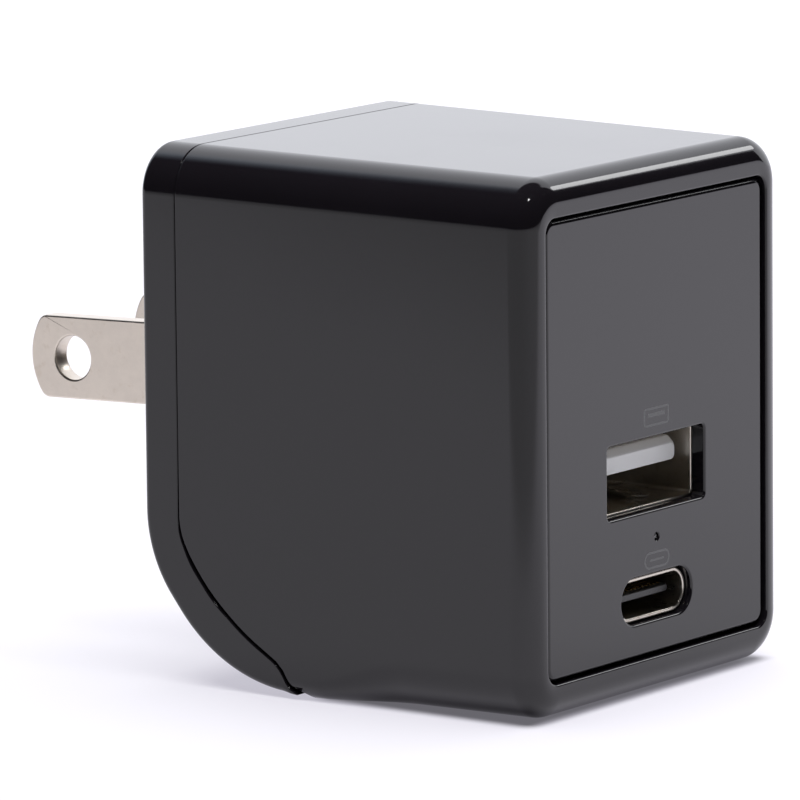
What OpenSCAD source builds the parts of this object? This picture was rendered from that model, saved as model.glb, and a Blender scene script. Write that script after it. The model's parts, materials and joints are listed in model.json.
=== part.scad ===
// USB wall charger with a folding two-blade plug, one USB-A and one USB-C port.
// Frame: x across the body, y out of the wall side (blades point +y), z up.
// The origin is on the flat wall side, midway between the two blades.

/* [Body] */
// body width at the port end
front_w = 33; // [28:0.1:40]
// body width at the wall end
rear_w = 34.1; // [28:0.1:42]
// body depth from wall side to port end
depth = 34.8; // [30:0.1:45]
// height of the top above the blades, port end
top_front = 17.6; // [12:0.1:22]
// height of the top above the blades, wall end
top_rear = 18; // [12:0.1:22]
// height of the bottom below the blades, port end
low_front = 22; // [20:0.1:28]
// height of the bottom below the blades, wall end
low_rear = 22.4; // [20:0.1:28]
// rounding of the four long edges
long_r = 3.6; // [2:0.1:6]
// rounding of the edges round the port end
front_r = 1.9; // [0.5:0.1:3]
// rounding of the edges round the wall end
rear_r = 0.6; // [0.3:0.1:2]
// thickness of the shell walls
wall = 1.6; // [1.2:0.1:2.5]

/* [Front panel] */
// half width of the panel opening
open_x = 14.3; // [12:0.05:15]
// top edge of the panel opening
open_top = 14.75; // [10:0.05:16]
// bottom edge of the panel opening
open_low = -19.4; // [-21:0.05:-16]
// corner radius of the opening
open_r = 1.2; // [0.5:0.1:3]
// gap between panel and opening
panel_gap = 0.2; // [0.1:0.05:0.5]
// how far the panel sits behind the port end
panel_in = 0.25; // [0.2:0.05:1]

/* [Ports] */
// height of the USB-A port centre
a_z = -5.72; // [-8:0.01:-4]
// width of the USB-A cut
a_w = 12.65; // [12.5:0.05:13]
// height of the USB-A cut
a_h = 5.46; // [5.2:0.02:6]
// height of the USB-C port centre
c_z = -14.95; // [-17:0.01:-12]
// width of the USB-C cut
c_w = 9.1; // [9:0.05:9.6]
// height of the USB-C cut
c_h = 3.5; // [3.3:0.05:4]
// height of the indicator hole
led_z = -10.5; // [-12:0.1:-9]

/* [Folding plug] */
// distance between the blade centres
blade_pitch = 12.7; // [12.7:0.1:12.7]
// blade width
blade_w = 6.35; // [6.1:0.05:6.6]
// blade thickness
blade_t = 1.52; // [1.4:0.02:1.65]
// blade length beyond the wall side
blade_l = 18.4; // [15.9:0.05:18.4]
// diameter of the hole in each blade
hole_d = 3.4; // [3:0.1:4]
// distance from blade tip to hole centre
hole_in = 4; // [3:0.1:7]
// depth of the fold axis behind the wall side
pivot_y = 3.4; // [3:0.1:5]
// radius of the plug barrel
barrel_r = 3.1; // [2.5:0.05:4]
// how far the open plug hangs below square, in degrees
droop = 1.6; // [0:0.1:3]
// radius of the pivot pins
pin_r = 1.2; // [0.8:0.05:1.6]

/* [Hidden] */
fine = 48;
pin_gap = 0.05;
cover_t = 2;
panel_y = -depth + panel_in;
flange_y = -depth + 1.9;
slot_x = blade_pitch / 2;
slot_half = blade_t / 2 + 0.26;
slot_deep = pivot_y + blade_w / 2 + 0.45;
// rear lower sweep: an arc from the wall side, a short straight, an arc to the bottom
sweep_z = -9.18;
sweep_r = 10.55;
sweep_a = 37.9;
sweep_l = 1.32;
sweep_r2 = 13.42;
sweep_c2 = [-sweep_r + (sweep_r - sweep_r2) * cos(sweep_a) - sweep_l * sin(sweep_a),
            sweep_z - (sweep_r - sweep_r2) * sin(sweep_a) - sweep_l * cos(sweep_a)];
sweep_low = sweep_c2[1] - sweep_r2;
// split line of the rear cover as [y, z, gap to the housing]
seam = [[-3.14, 30, 0.1], [-3.14, -9, 0.1], [-3.16, -9.8, 0.11], [-3.3, -10.8, 0.13],
        [-3.72, -11.9, 0.16], [-4.39, -13.05, 0.18], [-5.27, -14.3, 0.2], [-6.32, -15.5, 0.2],
        [-7.47, -16.6, 0.2], [-8.72, -17.65, 0.2], [-9.92, -18.5, 0.2], [-11.05, -19.2, 0.2],
        [-11.85, -19.72, 0.21], [-12.37, -20.25, 0.22], [-12.72, -20.85, 0.23],
        [-13.12, -21.38, 0.24], [-13.75, -21.78, 0.24], [-14.3, -22.02, 0.22],
        [-14.75, -22.4, 0.2]];
// boards: top of the mains board, rear face of the output board
mains_z = -0.7;
mains_t = 1.2;
out_y = -17.8;
out_t = 1.2;
shell_back = out_y - out_t - 0.1;
black = [0.06, 0.06, 0.065];
nickel = [0.72, 0.68, 0.6];
steel = [0.7, 0.7, 0.68];
white = [0.88, 0.88, 0.85];
copper = [0.72, 0.42, 0.2];
board_green = [0.05, 0.28, 0.14];

function half_w(y) = (rear_w + (rear_w - front_w) * y / depth) / 2;
function top_z(y) = top_rear + (top_rear - top_front) * y / depth;
function low_z(y) = -low_rear - (low_rear - low_front) * y / depth;
function arc(c, r, a0, a1, n) =
  [for (i = [0:n]) let (a = a0 + (a1 - a0) * i / n) [c[0] + r * cos(a), c[1] - r * sin(a)]];
// points along the sweep, moved inwards by t
function sweep(t, n) = concat(arc([-sweep_r, sweep_z], sweep_r - t, 0, sweep_a, n),
                              arc(sweep_c2, sweep_r2 - t, sweep_a, 90, n));
// the split line moved off the cover by k times its gap
function split(k) = [for (i = [0:len(seam) - 1])
  let (a = seam[max(i - 1, 0)], b = seam[min(i + 1, len(seam) - 1)],
       d = [b[0] - a[0], b[1] - a[1]], l = norm(d))
  [seam[i][0] + d[1] / l * seam[i][2] * k, seam[i][1] - d[0] / l * seam[i][2] * k]];

// box between two corners
module box(a, b) { translate(a) cube(b - a); }
// profile drawn in y and z, extruded along x from x0 to x1
module along_x(x0, x1) {
  translate([x0, 0, 0]) rotate([90, 0, 90]) linear_extrude(x1 - x0) children();
}
// profile drawn in x and z, extruded along y from y0 to y1
module along_y(y0, y1) {
  translate([0, y1, 0]) rotate([90, 0, 0]) linear_extrude(y1 - y0) children();
}
module rod_x(x0, x1, r, y, z) {
  translate([x0, y, z]) rotate([0, 90, 0]) cylinder(h = x1 - x0, r = r, $fn = fine);
}
module rod_y(y0, y1, r, x, z) {
  translate([x, y1, z]) rotate([90, 0, 0]) cylinder(h = y1 - y0, r = r, $fn = fine);
}
module rod_z(z0, z1, r, x, y) {
  translate([x, y, z0]) cylinder(h = z1 - z0, r = r, $fn = fine);
}
// rectangle with rounded corners, centred on x, between two heights
module round_rect(w, z0, z1, r) {
  square_r = min(r, (z1 - z0) / 2);
  translate([-w / 2 + square_r, z0]) square([w - 2 * square_r, z1 - z0]);
  translate([-w / 2, z0 + square_r]) square([w, max(z1 - z0 - 2 * square_r, 0.001)]);
  for (x = [-w / 2 + square_r, w / 2 - square_r], z = [z0 + square_r, z1 - square_r])
    translate([x, z]) circle(square_r, $fn = fine);
}
// one rounded corner: long edge radius long_r, end edge radius r, end face at y
module corner(x, z, y, r) {
  translate([x, y, z]) rotate([90, 0, 0])
    rotate_extrude($fn = fine) intersection() {
      translate([long_r - r, 0]) circle(r, $fn = 32);
      translate([0, -r]) square([long_r + 1, 2 * r]);
    }
}
module housing_form() {
  hull() {
    for (s = [-1, 1]) {
      corner(s * (half_w(-depth) - long_r), top_front - long_r, -depth + front_r, front_r);
      corner(s * (half_w(-depth) - long_r), -low_front + long_r, -depth + front_r, front_r);
      corner(s * (half_w(0) - long_r), top_rear - long_r, -rear_r, rear_r);
      corner(s * (half_w(0) - long_r), -low_rear + long_r, -rear_r, rear_r);
    }
  }
}
module cover_form() {
  hull() {
    for (s = [-1, 1]) {
      corner(s * (half_w(0) - long_r), top_rear - long_r, -rear_r, rear_r);
      corner(s * (half_w(-12) - long_r), top_z(-12) - long_r, -12, rear_r);
      for (p = sweep(rear_r, 9))
        translate([s * (half_w(p[0]) - rear_r), p[0], p[1]]) sphere(rear_r, $fn = 24);
      translate([s * (half_w(-17) - rear_r), -17, sweep_low + rear_r]) sphere(rear_r, $fn = 24);
    }
  }
}
// everything on the wall side of the split line
module wall_side(k) {
  along_x(-40, 40) polygon(concat(split(k), [[30, -60], [30, 60]]));
}
// hollow of the body between two depths
module hollow(y0, y1) {
  hull() {
    for (y = [y0, y1])
      along_y(y - 0.01, y)
        round_rect(2 * (half_w(y) - wall), low_z(y) + wall, top_z(y) - wall, 2);
  }
}

module main_housing() color(black) {
  difference() {
    housing_form();
    wall_side(1);
    hollow(-depth + 1.8, 1);
    along_y(-depth - 1, -depth + 2)
      round_rect(2 * open_x, open_low, open_top, open_r);
  }
  // rails that carry the mains board and hold the output board upright
  for (s = [-1, 1]) {
    box([s > 0 ? 13.1 : -half_w(-14) + 0.6, -31, -3.2],
        [s > 0 ? half_w(-31) - 0.6 : -13.1, -14, mains_z - mains_t - 0.1]);
    for (y = [out_y + 0.1, out_y - out_t - 1.1])
      box([s > 0 ? 13.6 : -half_w(-17) + 0.6, y, -19], [s > 0 ? half_w(-20) - 0.6 : -13.6, y + 1, -4]);
  }
}

module port_a(grow) {
  round_rect(a_w + 2 * grow, a_z - a_h / 2 - grow, a_z + a_h / 2 + grow, 0.4 + grow);
}
module port_c(grow) {
  round_rect(c_w + 2 * grow, c_z - c_h / 2 - grow, c_z + c_h / 2 + grow, 9);
}
module front_panel() color(black) {
  difference() {
    union() {
      along_y(panel_y, flange_y + 0.2)
        round_rect(2 * (open_x - panel_gap), open_low + panel_gap, open_top - panel_gap, open_r - 0.2);
      along_y(flange_y + 0.1, flange_y + 1.1)
        round_rect(2 * open_x + 0.7, open_low - 0.6, open_top + 0.6, 1.2);
    }
    along_y(panel_y - 1, 0) port_a(0);
    along_y(panel_y - 1, 0) port_c(0);
    // pockets for the connector shells
    along_y(panel_y + 1.1, 0) port_a(0.42);
    along_y(panel_y + 0.9, 0) port_c(0.12);
    rod_y(panel_y - 1, 0, 0.3, 0, led_z);
    rod_y(panel_y + 0.8, 0, 1.15, 0, led_z);
  }
}
module light_pipe() color([0.9, 0.92, 0.95]) {
  rod_y(panel_y + 0.15, panel_y + 1, 0.26, 0, led_z);
  rod_y(panel_y + 0.9, shell_back - 0.9, 1, 0, led_z);
}

module blade_slot(s) {
  x = s * slot_x;
  box([x - slot_half, -slot_deep, -40], [x + slot_half, 5, -2.4]);
  box([x - slot_half, -0.95, -3], [x + slot_half, 5, blade_w / 2 + 0.3]);
}
module rear_cover() color(black) {
  difference() {
    union() {
      difference() {
        intersection() {
          cover_form();
          wall_side(0);
        }
        // inside of the cover
        intersection() {
          along_x(-half_w(0) + 1.7, half_w(0) - 1.7)
            polygon(concat([[-cover_t, 40]], sweep(cover_t, 12), [[-40, sweep_low + cover_t], [-40, 40]]));
          along_y(-40, 0) round_rect(2 * half_w(0) - 3.4, -40, top_rear - wall - 0.1, 2);
        }
      }
      // ears with half-round seats for the pivot pins
      for (s = [-1, 1])
        box([s * 10.95 - 1.35, -pivot_y, -3.4], [s * 10.95 + 1.35, -cover_t + 0.2, 3.4]);
      // closed channels that the folded blades lie in
      intersection() {
        cover_form();
        for (s = [-1, 1])
          box([s * slot_x - slot_half - 0.8, -slot_deep - 0.8, -21.6],
              [s * slot_x + slot_half + 0.8, -cover_t + 0.2, -3.4]);
      }
    }
    // a window and a bore for each end of the barrel, a thin web between them
    for (s = [-1, 1]) {
      blade_slot(s);
      rod_x(s > 0 ? 4 : -9.5, s > 0 ? 9.5 : -4, barrel_r + 0.15, -pivot_y, 0);
      box([s > 0 ? 4 : -9.5, -cover_t - 0.3, -2.95], [s > 0 ? 9.5 : -4, 1, 2.95]);
    }
    rod_x(-4.1, 4.1, 2.55, -pivot_y, 0);
    rod_x(-12.4, 12.4, pin_r + pin_gap, -pivot_y, 0);
  }
}
// turns the plug parts to their resting angle
module plug_turn() {
  translate([0, -pivot_y, 0]) rotate([-droop, 0, 0]) translate([0, pivot_y, 0]) children();
}
module prong_carrier() color(black) plug_turn() {
  difference() {
    union() {
      rod_x(-9.35, 9.35, barrel_r, -pivot_y, 0);
      rod_x(-12.1, 12.1, pin_r, -pivot_y, 0);
    }
    // waist between the blades, and the two blade pockets
    difference() {
      rod_x(-4.3, 4.3, barrel_r + 1, -pivot_y, 0);
      rod_x(-4.4, 4.4, 2.3, -pivot_y, 0);
    }
    for (s = [-1, 1])
      box([s * slot_x - blade_t / 2 - 0.02, -pivot_y - 5, -1.24],
          [s * slot_x + blade_t / 2 + 0.02, 5, 1.24]);
  }
}
module blade(s) color(nickel) plug_turn() {
  tip_r = 5.1;
  translate([s * slot_x - blade_t / 2, 0, 0]) difference() {
    union() {
      // tail inside the barrel, then the full-width blade with its curved tip
      box([0, -pivot_y - 2.75, -1.2], [blade_t, 0, 1.2]);
      box([0, -0.5, -blade_w / 2], [blade_t, blade_l - 1.1, blade_w / 2]);
      intersection() {
        rod_x(0, blade_t, tip_r, blade_l - tip_r, 0);
        box([0, 5, -blade_w / 2], [blade_t, blade_l + 1, blade_w / 2]);
      }
    }
    rod_x(-1, blade_t + 1, hole_d / 2, blade_l - hole_in, 0);
  }
}
module blade_line() { blade(-1); }
module blade_neutral() { blade(1); }

module pivot_bracket() color(white) {
  difference() {
    union() {
      for (s = [-1, 1])
        box([s * 10.95 - 1.35, -6.3, -3.4], [s * 10.95 + 1.35, -pivot_y - 0.1, 5.8]);
      box([-12.3, -6.3, 4.2], [12.3, -pivot_y - 0.1, 5.8]);
    }
    rod_x(-12.4, 12.4, pin_r + pin_gap, -pivot_y, 0);
    box([-9.6, -7, -3.5], [9.6, 0, 4.1]);
  }
}
module detent_spring() color(steel) {
  box([-3.4, -6.2, 3.75], [3.4, -3.6, 4.05]);
  box([-3.4, -6.2, 2.75], [3.4, -5.9, 4.05]);
}
module contact_spring(s) color(copper) {
  x = s * slot_x;
  box([x - 1.4, -6.85, -0.9], [x + 1.4, -6.5, 6.4]);
  box([x - 1.4, -6.85, 6.05], [x + 1.4, -4.2, 6.4]);
}
module contact_spring_line() { contact_spring(-1); }
module contact_spring_neutral() { contact_spring(1); }
module lead_wire(s, c) color(c) {
  x = s * slot_x;
  rod_z(mains_z + 0.1, 4.2, 0.6, x, -9.85);
  translate([x, -8.65, 4.2]) rotate([0, -90, 0])
    rotate_extrude(angle = 90, $fn = fine) translate([-1.2, 0]) circle(0.6, $fn = 24);
  rod_y(-8.66, -6.95, 0.6, x, 5.4);
}
module lead_wire_line() { lead_wire(-1, [0.12, 0.12, 0.12]); }
module lead_wire_neutral() { lead_wire(1, [0.85, 0.85, 0.85]); }

module mains_board() color(board_green)
  box([-13.8, -31.4, mains_z - mains_t], [13.8, -9.2, mains_z]);
module legs(pts, h) { for (p = pts) rod_z(mains_z + 0.05, mains_z + h, 0.3, p[0], p[1]); }
module fuse() color([0.35, 0.2, 0.12]) {
  rod_x(-12.2, -4.8, 1.6, -12.5, mains_z + 2.2);
  rod_x(-13, -4, 0.3, -12.5, mains_z + 2.2);
  legs([[-12.75, -12.5], [-4.25, -12.5]], 2.4);
}
module input_choke() color([0.2, 0.2, 0.2]) {
  rod_z(mains_z + 0.5, mains_z + 1.5, 2.8, 2, -13.3);
  rod_z(mains_z + 1.4, mains_z + 6.6, 2.2, 2, -13.3);
  rod_z(mains_z + 6.5, mains_z + 7.5, 2.8, 2, -13.3);
  legs([[0.5, -13.3], [3.5, -13.3]], 0.6);
}
module bridge_rectifier() color([0.1, 0.1, 0.1]) {
  box([8.1, -13.2, mains_z + 0.2], [12.5, -9.6, mains_z + 1.9]);
  for (x = [8.7, 11.9], y = [-13.9, -9.7])
    box([x - 0.35, y, mains_z + 0.05], [x + 0.35, y + 0.8, mains_z + 0.35]);
}
module bulk_capacitor(y) color([0.16, 0.18, 0.22]) {
  difference() {
    rod_z(mains_z + 0.6, mains_z + 13.6, 4, 8.8, y);
    rod_z(mains_z + 13.3, mains_z + 14, 3.4, 8.8, y);
    // rolled groove near the seal
    difference() {
      rod_z(mains_z + 1.6, mains_z + 2.2, 5, 8.8, y);
      rod_z(mains_z + 1.5, mains_z + 2.3, 3.7, 8.8, y);
    }
  }
  legs([[7.05, y], [10.55, y]], 0.8);
}
module bulk_capacitor_front() { bulk_capacitor(-27.2); }
module bulk_capacitor_rear() { bulk_capacitor(-18.9); }

tr = [-5.6, -25];
module core_half() {
  box([tr[0] - 6.6, tr[1] - 3, 0], [tr[0] + 6.6, tr[1] + 3, 2]);
  for (x = [tr[0] - 6.6, tr[0] + 5.3])
    box([x, tr[1] - 3, 0], [x + 1.3, tr[1] + 3, 6.1]);
  rod_z(0.5, 6.1, 2, tr[0], tr[1]);
}
module transformer_core_lower() color([0.18, 0.17, 0.17])
  translate([0, 0, mains_z + 0.9]) core_half();
module transformer_core_upper() color([0.18, 0.17, 0.17])
  translate([0, 0, mains_z + 13.3]) mirror([0, 0, 1]) core_half();
module transformer_bobbin() color([0.25, 0.14, 0.08]) {
  difference() {
    union() {
      rod_z(mains_z + 3.1, mains_z + 11.1, 2.7, tr[0], tr[1]);
      for (z = [3.1, 10.4])
        box([tr[0] - 5, tr[1] - 5.6, mains_z + z], [tr[0] + 5, tr[1] + 5.6, mains_z + z + 0.7]);
      for (y = [-5.6, 3.4])
        box([tr[0] - 5, tr[1] + y, mains_z + 0.6], [tr[0] + 5, tr[1] + y + 2.2, mains_z + 3.2]);
    }
    rod_z(mains_z, mains_z + 12, 2.1, tr[0], tr[1]);
  }
  for (x = [-3.75, -1.25, 1.25, 3.75], y = [-4.5, 4.5])
    rod_z(mains_z + 0.05, mains_z + 0.8, 0.3, tr[0] + x, tr[1] + y);
}
module sleeve(z0, z1, r0, r1) {
  difference() {
    rod_z(z0, z1, r1, tr[0], tr[1]);
    rod_z(z0 - 1, z1 + 1, r0, tr[0], tr[1]);
  }
}
module transformer_winding() color(copper) sleeve(mains_z + 3.9, mains_z + 10.3, 2.8, 4.7);
module transformer_tape() color([0.85, 0.7, 0.15]) sleeve(mains_z + 3.9, mains_z + 10.3, 4.78, 5.05);

module y_capacitor() color([0.15, 0.35, 0.7]) {
  rod_y(-17.4, -15.1, 3.5, -9.4, mains_z + 5.2);
  legs([[-11.9, -16.25], [-6.9, -16.25]], 3.6);
}
// small moulded part hung under the mains board
module chip_under(a, b, h) {
  z = mains_z - mains_t - 0.2;
  box([a[0], a[1], z - h], [b[0], b[1], z]);
  for (x = [a[0] - 0.7, b[0] - 0.1], y = [a[1] + 0.7 : 1.27 : b[1] - 0.6])
    box([x, y - 0.2, z - h / 2], [x + 0.8, y + 0.2, z + 0.12]);
}
module controller_chip() color([0.1, 0.1, 0.1]) chip_under([5.5, -14.9], [9.4, -9.9], 1.5);
module optocoupler() color([0.1, 0.1, 0.1]) chip_under([-9.4, -14.6], [-5, -10], 2.1);
module insulation_sheet() color([0.85, 0.83, 0.7])
  box([-12.9, -31.5, -2.55], [12.9, -19.3, -2.3]);
module board_link() color([0.12, 0.12, 0.12]) {
  box([-7.5, out_y + 0.1, -4.6], [7.5, out_y + 2.5, -2.4]);
  for (x = [-6.35 : 2.54 : 6.35])
    box([x - 0.3, out_y + 1, -4.7], [x + 0.3, out_y + 1.6, mains_z - mains_t - 0.05]);
}
module output_board() color(board_green)
  box([-13.3, out_y - out_t, -20.2], [13.3, out_y, -3.5]);
module can_rear(x, z, r, l) {
  rod_y(out_y + 0.5, out_y + l, r, x, z);
  rod_y(out_y + 0.05, out_y + 0.6, 0.3, x - 1, z);
  rod_y(out_y + 0.05, out_y + 0.6, 0.3, x + 1, z);
}
module output_capacitor() color([0.75, 0.75, 0.78]) can_rear(9.6, -9.4, 3.15, 7.6);
module filter_capacitor() color([0.75, 0.75, 0.78]) can_rear(-9.6, -9.4, 3.15, 7.6);
// small moulded part on the rear of the output board
module chip_rear(z0, z1, w, h) {
  box([-w / 2, out_y + 0.2, z0], [w / 2, out_y + 0.2 + h, z1]);
  for (x = [-w / 2 - 0.7, w / 2 - 0.1], z = [z0 + 0.6 : 1.27 : z1 - 0.5])
    box([x, out_y + 0.08, z - 0.2], [x + 0.8, out_y + 0.2 + h / 2, z + 0.2]);
}
module sync_rectifier() color([0.1, 0.1, 0.1]) chip_rear(-11, -6.2, 3.9, 1.5);
module protocol_chip() color([0.1, 0.1, 0.1]) chip_rear(-17.4, -13.4, 4, 0.9);
module indicator_led() color([0.9, 0.9, 0.75])
  box([-0.8, shell_back - 0.75, led_z - 0.4], [0.8, shell_back, led_z + 0.4]);

module usb_a_shell() color(steel) {
  difference() {
    along_y(panel_y + 1.2, shell_back)
      round_rect(13.1, a_z - 2.86, a_z + 2.86, 0.6);
    along_y(panel_y, shell_back - 0.3)
      round_rect(12.5, a_z - 2.56, a_z + 2.56, 0.3);
  }
}
module usb_a_tongue() color(white) {
  top = a_z + 2.56 - 0.7;
  difference() {
    box([-5.55, panel_y + 2.1, top - 1.84], [5.55, -23, top]);
    // lead-in slope on the upper front edge
    translate([-6, panel_y + 2.1, top - 0.5]) rotate([45, 0, 0]) cube([12, 0.9, 0.9]);
  }
  box([-6.15, -24, a_z - 2.46], [6.15, shell_back - 0.4, a_z + 2.46]);
}
module usb_a_contacts() color([0.85, 0.65, 0.25]) {
  under = a_z + 2.56 - 0.7 - 1.84 - 0.05;
  for (x = [-3.5, -1, 1, 3.5]) {
    box([x - 0.5, panel_y + 3.1, under - 0.25], [x + 0.5, -24.1, under]);
    box([x - 0.5, panel_y + 3.9, under - 0.5], [x + 0.5, panel_y + 5.4, under - 0.2]);
  }
}
module usb_c_shell() color(steel) {
  difference() {
    along_y(panel_y + 0.55, shell_back) round_rect(8.94, c_z - 1.63, c_z + 1.63, 9);
    along_y(panel_y - 1, shell_back - 0.3) round_rect(8.34, c_z - 1.33, c_z + 1.33, 9);
  }
}
module usb_c_tongue() color([0.08, 0.08, 0.08]) {
  along_y(panel_y + 1.35, -26) round_rect(6.69, c_z - 0.35, c_z + 0.35, 0.2);
  along_y(-27, shell_back - 0.4) round_rect(8.24, c_z - 1.23, c_z + 1.23, 9);
}
module usb_c_contacts() color([0.85, 0.65, 0.25]) {
  for (i = [0:11], s = [-1, 1])
    translate([-2.75 + 0.5 * i, 0, c_z + s * 0.44])
      box([-0.12, panel_y + 1.8, -0.07], [0.12, -27.1, 0.07]);
}

main_housing();
front_panel();
rear_cover();
light_pipe();
prong_carrier();
blade_line();
blade_neutral();
pivot_bracket();
detent_spring();
contact_spring_line();
contact_spring_neutral();
lead_wire_line();
lead_wire_neutral();
mains_board();
fuse();
input_choke();
bridge_rectifier();
bulk_capacitor_front();
bulk_capacitor_rear();
transformer_core_upper();
transformer_core_lower();
transformer_bobbin();
transformer_winding();
transformer_tape();
y_capacitor();
controller_chip();
optocoupler();
insulation_sheet();
board_link();
output_board();
output_capacitor();
filter_capacitor();
sync_rectifier();
protocol_chip();
indicator_led();
usb_a_shell();
usb_a_tongue();
usb_a_contacts();
usb_c_shell();
usb_c_tongue();
usb_c_contacts();
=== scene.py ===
import json
import math
import bmesh
import bpy
from mathutils import Matrix, Vector

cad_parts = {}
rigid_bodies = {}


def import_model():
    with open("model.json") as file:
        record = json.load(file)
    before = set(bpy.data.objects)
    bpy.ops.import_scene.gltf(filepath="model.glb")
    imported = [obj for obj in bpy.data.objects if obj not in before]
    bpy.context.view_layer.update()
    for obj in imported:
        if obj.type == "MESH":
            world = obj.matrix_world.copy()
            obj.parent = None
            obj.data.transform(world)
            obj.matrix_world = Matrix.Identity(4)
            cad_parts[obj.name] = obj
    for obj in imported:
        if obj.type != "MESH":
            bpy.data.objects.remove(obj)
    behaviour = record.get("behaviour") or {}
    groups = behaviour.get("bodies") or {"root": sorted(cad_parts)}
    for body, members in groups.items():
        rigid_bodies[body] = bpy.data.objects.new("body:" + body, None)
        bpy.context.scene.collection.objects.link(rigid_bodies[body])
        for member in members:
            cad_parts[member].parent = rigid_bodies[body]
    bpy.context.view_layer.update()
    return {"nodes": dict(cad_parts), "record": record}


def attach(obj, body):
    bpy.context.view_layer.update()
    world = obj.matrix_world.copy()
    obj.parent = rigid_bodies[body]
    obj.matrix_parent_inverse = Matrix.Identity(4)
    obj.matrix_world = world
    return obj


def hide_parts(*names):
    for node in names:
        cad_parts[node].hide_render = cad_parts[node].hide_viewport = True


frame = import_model()
mm = 0.001
print("frame loaded,", len(frame["nodes"]), "nodes")


# ---- mesh helpers: everything is drawn in millimetres and brought to metres in handOver ----

def asObject(name, bm, weld=1e-5):
    bmesh.ops.remove_doubles(bm, verts=bm.verts, dist=weld)
    bmesh.ops.recalc_face_normals(bm, faces=bm.faces)
    mesh = bpy.data.meshes.new(name)
    bm.to_mesh(mesh)
    bm.free()
    obj = bpy.data.objects.new(name, mesh)
    bpy.context.scene.collection.objects.link(obj)
    return obj


def settle(obj):  # what the modifiers make becomes the plain mesh
    bpy.context.view_layer.update()
    mesh = bpy.data.meshes.new_from_object(obj.evaluated_get(bpy.context.evaluated_depsgraph_get()))
    obj.modifiers.clear()
    obj.data = mesh
    return obj


def combine(obj, tools, operation):
    for tool in tools:
        step = obj.modifiers.new(operation, "BOOLEAN")
        step.operation, step.object, step.solver = operation, tool, "EXACT"
        settle(obj)
        bpy.data.objects.remove(tool)
    return obj


def soften(obj, width, segments=3, angle=40):
    step = obj.modifiers.new("edges", "BEVEL")
    step.width, step.segments, step.limit_method = width, segments, "ANGLE"
    step.angle_limit, step.harden_normals = math.radians(angle), False
    return settle(obj)


def handOver(obj, material, body, stoodFor=(), angle=30, scale=mm):
    obj.data.transform(Matrix.Scale(scale, 4))
    obj.data.materials.clear()
    obj.data.materials.append(material)
    for face in obj.data.polygons:
        face.use_smooth, face.material_index = True, 0
    obj.data.set_sharp_from_angle(angle=math.radians(angle))
    step = obj.modifiers.new("normals", "WEIGHTED_NORMAL")
    step.keep_sharp, step.weight = True, 80
    settle(obj)
    if stoodFor:
        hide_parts(*stoodFor)
    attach(obj, body)
    return obj


def loft(bm, rings, loop=False, caps=True):
    rows = [[bm.verts.new(p) for p in ring] for ring in rings]
    for a, b in zip(rows, rows[1:] + (rows[:1] if loop else [])):
        for i in range(len(a)):
            j = (i + 1) % len(a)
            bm.faces.new((a[i], a[j], b[j], b[i]))
    if caps and not loop:
        bm.faces.new(rows[0])
        bm.faces.new(rows[-1])
    return rows


def lerp(a, b, t):
    return a + (b - a) * t


def roundRect(halfW, low, high, r, corner=10, side=1, flat=1):
    spots = [(halfW - r, high - r, 0), (r - halfW, high - r, 90),
             (r - halfW, low + r, 180), (halfW - r, low + r, 270)]
    arcs = [[(cx + r * math.cos(math.radians(a + 90 * i / corner)),
              cz + r * math.sin(math.radians(a + 90 * i / corner))) for i in range(corner + 1)]
            for cx, cz, a in spots]
    points = []
    for k, arc in enumerate(arcs):
        points += arc
        end, cuts = arcs[(k + 1) % 4][0], (flat, side)[k % 2]
        points += [(lerp(arc[-1][0], end[0], j / cuts), lerp(arc[-1][1], end[1], j / cuts))
                   for j in range(1, cuts)]
    return points


def atDepth(points, y):
    return [Vector((x, y, z)) for x, z in points]


def bar(name, low, high):
    bm = bmesh.new()
    loft(bm, [[Vector((x, y, z)) for x, z in ((low[0], low[2]), (high[0], low[2]), (high[0], high[2]),
                                              (low[0], high[2]))] for y in (low[1], high[1])])
    return asObject(name, bm)


def acrossX(name, profile, x0, x1):  # a closed y-z profile drawn out from x0 to x1
    bm = bmesh.new()
    loft(bm, [[Vector((x, y, z)) for y, z in profile] for x in (x0, x1)])
    return asObject(name, bm)


def disc(y, z, r, steps=64):
    return [(y + r * math.cos(math.tau * i / steps), z + r * math.sin(math.tau * i / steps))
            for i in range(steps)]


def turnedX(name, outline, y, z, steps=72):  # outline of (x, radius) turned about an axis along x
    bm = bmesh.new()
    loft(bm, [[Vector((x, py, pz)) for py, pz in disc(y, z, max(r, 0.001), steps)] for x, r in outline])
    return asObject(name, bm)


# ---- shader helpers ----

class Wire:
    def __init__(self, paint, socket):
        self.paint, self.socket = paint, socket

    def maths(self, operation, *values):
        return self.paint.node("ShaderNodeMath", {"operation": operation}, *values)

    def __add__(self, other): return self.maths("ADD", self, other)
    def __radd__(self, other): return self.maths("ADD", other, self)
    def __sub__(self, other): return self.maths("SUBTRACT", self, other)
    def __rsub__(self, other): return self.maths("SUBTRACT", other, self)
    def __mul__(self, other): return self.maths("MULTIPLY", self, other)
    def __rmul__(self, other): return self.maths("MULTIPLY", other, self)
    def __truediv__(self, other): return self.maths("DIVIDE", self, other)
    def __pow__(self, other): return self.maths("POWER", self, other)
    def __gt__(self, other): return self.maths("GREATER_THAN", self, other)
    def __lt__(self, other): return self.maths("LESS_THAN", self, other)
    def __abs__(self): return self.maths("ABSOLUTE", self)
    def above(self, other): return self.maths("MAXIMUM", self, other)
    def below(self, other): return self.maths("MINIMUM", self, other)
    def sine(self): return self.maths("SINE", self)


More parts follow.
